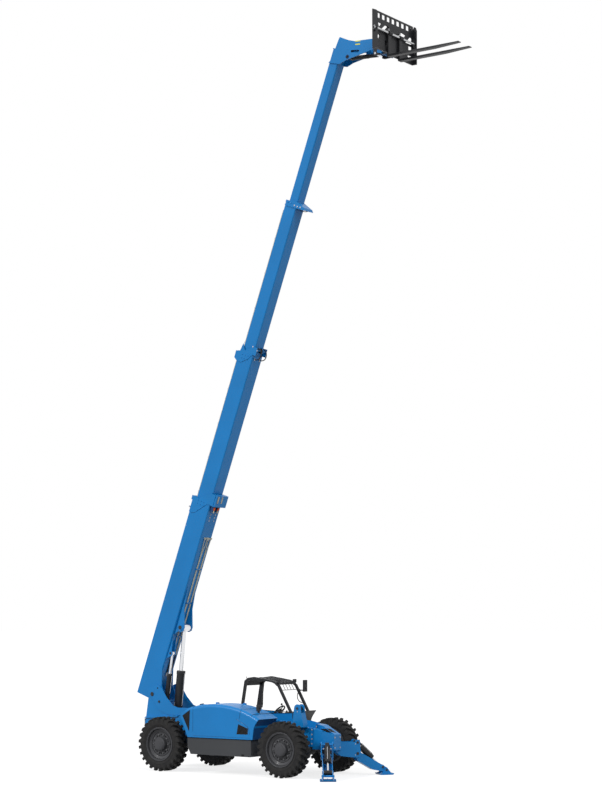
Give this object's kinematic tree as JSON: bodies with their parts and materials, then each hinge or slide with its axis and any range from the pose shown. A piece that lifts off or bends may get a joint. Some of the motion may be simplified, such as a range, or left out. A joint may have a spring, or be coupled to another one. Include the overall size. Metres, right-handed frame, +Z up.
{
  "type": "telehandler",
  "caption": "Rough-terrain telehandler with a long telescopic boom raised and run out, a fork carriage, an open cab and splayed front outriggers set down.",
  "frame": {"origin": "on the ground, under the middle of the machine's length and width as it stands with its boom up", "axes": "+X to the front, where the outriggers are; +Y to the machine's left, the cab side; +Z up"},
  "size_m": [9.6937, 2.9214, 18.215],
  "materials": {
    "blue_paint": "satin",
    "black_paint": "satin",
    "grey_paint": "satin",
    "tyre_rubber": "matte",
    "chrome_rod": "polished",
    "cast_axle": "matte",
    "dark_plastic": "matte",
    "light_metal": "satin",
    "hose_tan": "matte",
    "seat_vinyl": "matte"
  },
  "bodies": {
    "chassis": {"main_frame": "blue_paint", "front_frame": "blue_paint", "front_axle": "cast_axle", "rear_axle": "cast_axle", "service_box": "dark_plastic", "engine": "cast_axle", "cab_tub": "blue_paint", "cab_cowl": "black_paint", "cab_frame": "black_paint", "cab_roof": "black_paint", "visor": "light_metal", "seat": "seat_vinyl", "steering_console": "dark_plastic", "mirror_left": "dark_plastic", "sway_ram": "black_paint"},
    "hood_lid": {"hood": "blue_paint", "mirror_right": "dark_plastic"},
    "knuckle_front_left": {"knuckle_front_left": "cast_axle"},
    "wheel_front_left": {"tyre_front_left": "tyre_rubber", "rim_front_left": "grey_paint"},
    "knuckle_front_right": {"knuckle_front_right": "cast_axle"},
    "wheel_front_right": {"tyre_front_right": "tyre_rubber", "rim_front_right": "grey_paint"},
    "knuckle_rear_left": {"knuckle_rear_left": "cast_axle"},
    "wheel_rear_left": {"tyre_rear_left": "tyre_rubber", "rim_rear_left": "grey_paint"},
    "knuckle_rear_right": {"knuckle_rear_right": "cast_axle"},
    "wheel_rear_right": {"tyre_rear_right": "tyre_rubber", "rim_rear_right": "grey_paint"},
    "outrigger_leg_left": {"outrigger_leg_left": "blue_paint"},
    "outrigger_pad_left": {"outrigger_pad_left": "blue_paint"},
    "outrigger_barrel_left": {"outrigger_barrel_left": "black_paint"},
    "outrigger_rod_left": {"outrigger_rod_left": "chrome_rod"},
    "outrigger_leg_right": {"outrigger_leg_right": "blue_paint"},
    "outrigger_pad_right": {"outrigger_pad_right": "blue_paint"},
    "outrigger_barrel_right": {"outrigger_barrel_right": "black_paint"},
    "outrigger_rod_right": {"outrigger_rod_right": "chrome_rod"},
    "boom_base": {"boom_base": "blue_paint", "boom_tubes": "hose_tan"},
    "boom_second": {"boom_second": "blue_paint"},
    "boom_third": {"boom_third": "blue_paint"},
    "boom_tip": {"boom_tip": "blue_paint"},
    "carriage": {"carriage": "black_paint"},
    "fork_left": {"fork_left": "black_paint"},
    "fork_right": {"fork_right": "black_paint"},
    "lift_barrel": {"lift_barrel": "black_paint"},
    "lift_rod": {"lift_rod": "chrome_rod"},
    "level_barrel": {"level_barrel": "black_paint"},
    "level_rod": {"level_rod": "chrome_rod"},
    "tilt_barrel": {"tilt_barrel": "black_paint"},
    "tilt_rod": {"tilt_rod": "chrome_rod"}
  },
  "joints": [
    {"name": "steer_front_left", "type": "hinge", "parent": "chassis", "child": "knuckle_front_left", "pos_m": [0.36, 0.78, 0.66], "axis": [0, 0, 1], "range_deg": [-30, 30]},
    {"name": "spin_front_left", "type": "hinge", "parent": "knuckle_front_left", "child": "wheel_front_left", "pos_m": [0.36, 1.055, 0.66], "axis": [0, 1, 0], "continuous": true},
    {"name": "steer_front_right", "type": "hinge", "parent": "chassis", "child": "knuckle_front_right", "pos_m": [0.36, -0.78, 0.66], "axis": [0, 0, 1], "range_deg": [-30, 30]},
    {"name": "spin_front_right", "type": "hinge", "parent": "knuckle_front_right", "child": "wheel_front_right", "pos_m": [0.36, -1.055, 0.66], "axis": [0, 1, 0], "continuous": true},
    {"name": "steer_rear_left", "type": "hinge", "parent": "chassis", "child": "knuckle_rear_left", "pos_m": [-3.29, 0.78, 0.66], "axis": [0, 0, 1], "range_deg": [-30, 30]},
    {"name": "spin_rear_left", "type": "hinge", "parent": "knuckle_rear_left", "child": "wheel_rear_left", "pos_m": [-3.29, 1.055, 0.66], "axis": [0, 1, 0], "continuous": true},
    {"name": "steer_rear_right", "type": "hinge", "parent": "chassis", "child": "knuckle_rear_right", "pos_m": [-3.29, -0.78, 0.66], "axis": [0, 0, 1], "range_deg": [-30, 30]},
    {"name": "spin_rear_right", "type": "hinge", "parent": "knuckle_rear_right", "child": "wheel_rear_right", "pos_m": [-3.29, -1.055, 0.66], "axis": [0, 1, 0], "continuous": true},
    {"name": "outrigger_left", "type": "hinge", "parent": "chassis", "child": "outrigger_leg_left", "pos_m": [1.285, 0.606, 0.524], "axis": [0.809, -0.5878, 0], "range_deg": [0, 58]},
    {"name": "pad_left", "type": "hinge", "parent": "outrigger_leg_left", "child": "outrigger_pad_left", "pos_m": [1.72114, 1.20629, 0.115], "axis": [0.809, -0.5878, 0], "range_deg": [-10, 10]},
    {"name": "outrigger_barrel_swing_left", "type": "hinge", "parent": "chassis", "child": "outrigger_barrel_left", "pos_m": [1.285, 0.606, 0.784], "axis": [0.809, -0.5878, 0], "range_deg": [0, 52.79]},
    {"name": "outrigger_rod_slide_left", "type": "slide", "parent": "outrigger_barrel_left", "child": "outrigger_rod_left", "axis": [0.4339, 0.5972, -0.6746], "range_m": [-0.243, 0]},
    {"name": "outrigger_right", "type": "hinge", "parent": "chassis", "child": "outrigger_leg_right", "pos_m": [1.285, -0.606, 0.524], "axis": [-0.809, -0.5878, 0], "range_deg": [0, 58]},
    {"name": "pad_right", "type": "hinge", "parent": "outrigger_leg_right", "child": "outrigger_pad_right", "pos_m": [1.72114, -1.20629, 0.115], "axis": [-0.809, -0.5878, 0], "range_deg": [-10, 10]},
    {"name": "outrigger_barrel_swing_right", "type": "hinge", "parent": "chassis", "child": "outrigger_barrel_right", "pos_m": [1.285, -0.606, 0.784], "axis": [-0.809, -0.5878, 0], "range_deg": [0, 52.79]},
    {"name": "outrigger_rod_slide_right", "type": "slide", "parent": "outrigger_barrel_right", "child": "outrigger_rod_right", "axis": [0.4339, -0.5972, -0.6746], "range_m": [-0.243, 0]},
    {"name": "hood_open", "type": "hinge", "parent": "chassis", "child": "hood_lid", "pos_m": [-1.34, -0.393, 1.66], "axis": [-1, 0, 0], "range_deg": [0, 65]},
    {"name": "boom_lift", "type": "hinge", "parent": "chassis", "child": "boom_base", "pos_m": [-4.19, 0, 1.83], "axis": [0, 1, 0], "range_deg": [0, 72]},
    {"name": "boom_extend", "type": "slide", "parent": "boom_base", "child": "boom_second", "axis": [-0.342, 0, -0.9397], "range_m": [0, 3.5]},
    {"name": "boom_extend_third", "type": "slide", "parent": "boom_second", "child": "boom_third", "axis": [-0.342, 0, -0.9397], "range_m": [0, 3.5]},
    {"name": "boom_extend_tip", "type": "slide", "parent": "boom_third", "child": "boom_tip", "axis": [-0.342, 0, -0.9397], "range_m": [0, 3.5]},
    {"name": "carriage_level", "type": "hinge", "parent": "boom_tip", "child": "carriage", "pos_m": [2.47991, 0, 17.56787], "axis": [0, 1, 0], "range_deg": [-72, 0]},
    {"name": "fork_shift_left", "type": "slide", "parent": "carriage", "child": "fork_left", "axis": [0, 1, 0], "range_m": [0, 0.55]},
    {"name": "fork_shift_right", "type": "slide", "parent": "carriage", "child": "fork_right", "axis": [0, -1, 0], "range_m": [0, 0.55]},
    {"name": "lift_barrel_swing", "type": "hinge", "parent": "chassis", "child": "lift_barrel", "pos_m": [-3.707, 0, 1.2], "axis": [0, 1, 0], "range_deg": [0, 64.75]},
    {"name": "lift_rod_slide", "type": "slide", "parent": "lift_barrel", "child": "lift_rod", "axis": [0.0955, 0, 0.9954], "range_m": [-0.90502, 0]},
    {"name": "level_barrel_swing", "type": "hinge", "parent": "chassis", "child": "level_barrel", "pos_m": [-3.961, -0.12, 1.648], "axis": [0, 1, 0], "range_deg": [0, 74.32]},
    {"name": "level_rod_slide", "type": "slide", "parent": "level_barrel", "child": "level_rod", "axis": [0.1433, 0, 0.9897], "range_m": [-0.34195, 0]},
    {"name": "tilt_barrel_swing", "type": "hinge", "parent": "boom_tip", "child": "tilt_barrel", "pos_m": [1.61996, 0, 17.41263], "axis": [0, 1, 0], "range_deg": [-7.81, 0]},
    {"name": "tilt_rod_slide", "type": "slide", "parent": "tilt_barrel", "child": "tilt_rod", "axis": [0.9972, 0, -0.0748], "range_m": [0, 0.22452]}
  ],
  "couplings": [
    {"joint": "steer_front_right", "follows": "steer_front_left", "ratio": 1},
    {"joint": "steer_rear_right", "follows": "steer_rear_left", "ratio": 1},
    {"joint": "outrigger_barrel_swing_left", "follows": "outrigger_left", "ratio": 0.90926},
    {"joint": "outrigger_rod_slide_left", "follows": "outrigger_left", "m_per_rad": -0.23958},
    {"joint": "outrigger_barrel_swing_right", "follows": "outrigger_right", "ratio": 0.90926},
    {"joint": "outrigger_rod_slide_right", "follows": "outrigger_right", "m_per_rad": -0.23958},
    {"joint": "boom_extend_third", "follows": "boom_extend", "ratio": 1},
    {"joint": "boom_extend_tip", "follows": "boom_extend", "ratio": 1},
    {"joint": "carriage_level", "follows": "boom_lift", "ratio": -1},
    {"joint": "lift_barrel_swing", "follows": "boom_lift", "ratio": 0.89855},
    {"joint": "lift_rod_slide", "follows": "boom_lift", "m_per_rad": -0.7198},
    {"joint": "level_barrel_swing", "follows": "boom_lift", "ratio": 1.0315},
    {"joint": "level_rod_slide", "follows": "boom_lift", "m_per_rad": -0.27172},
    {"joint": "tilt_barrel_swing", "follows": "boom_lift", "ratio": -0.10775},
    {"joint": "tilt_rod_slide", "follows": "boom_lift", "m_per_rad": 0.17827}
  ]
}
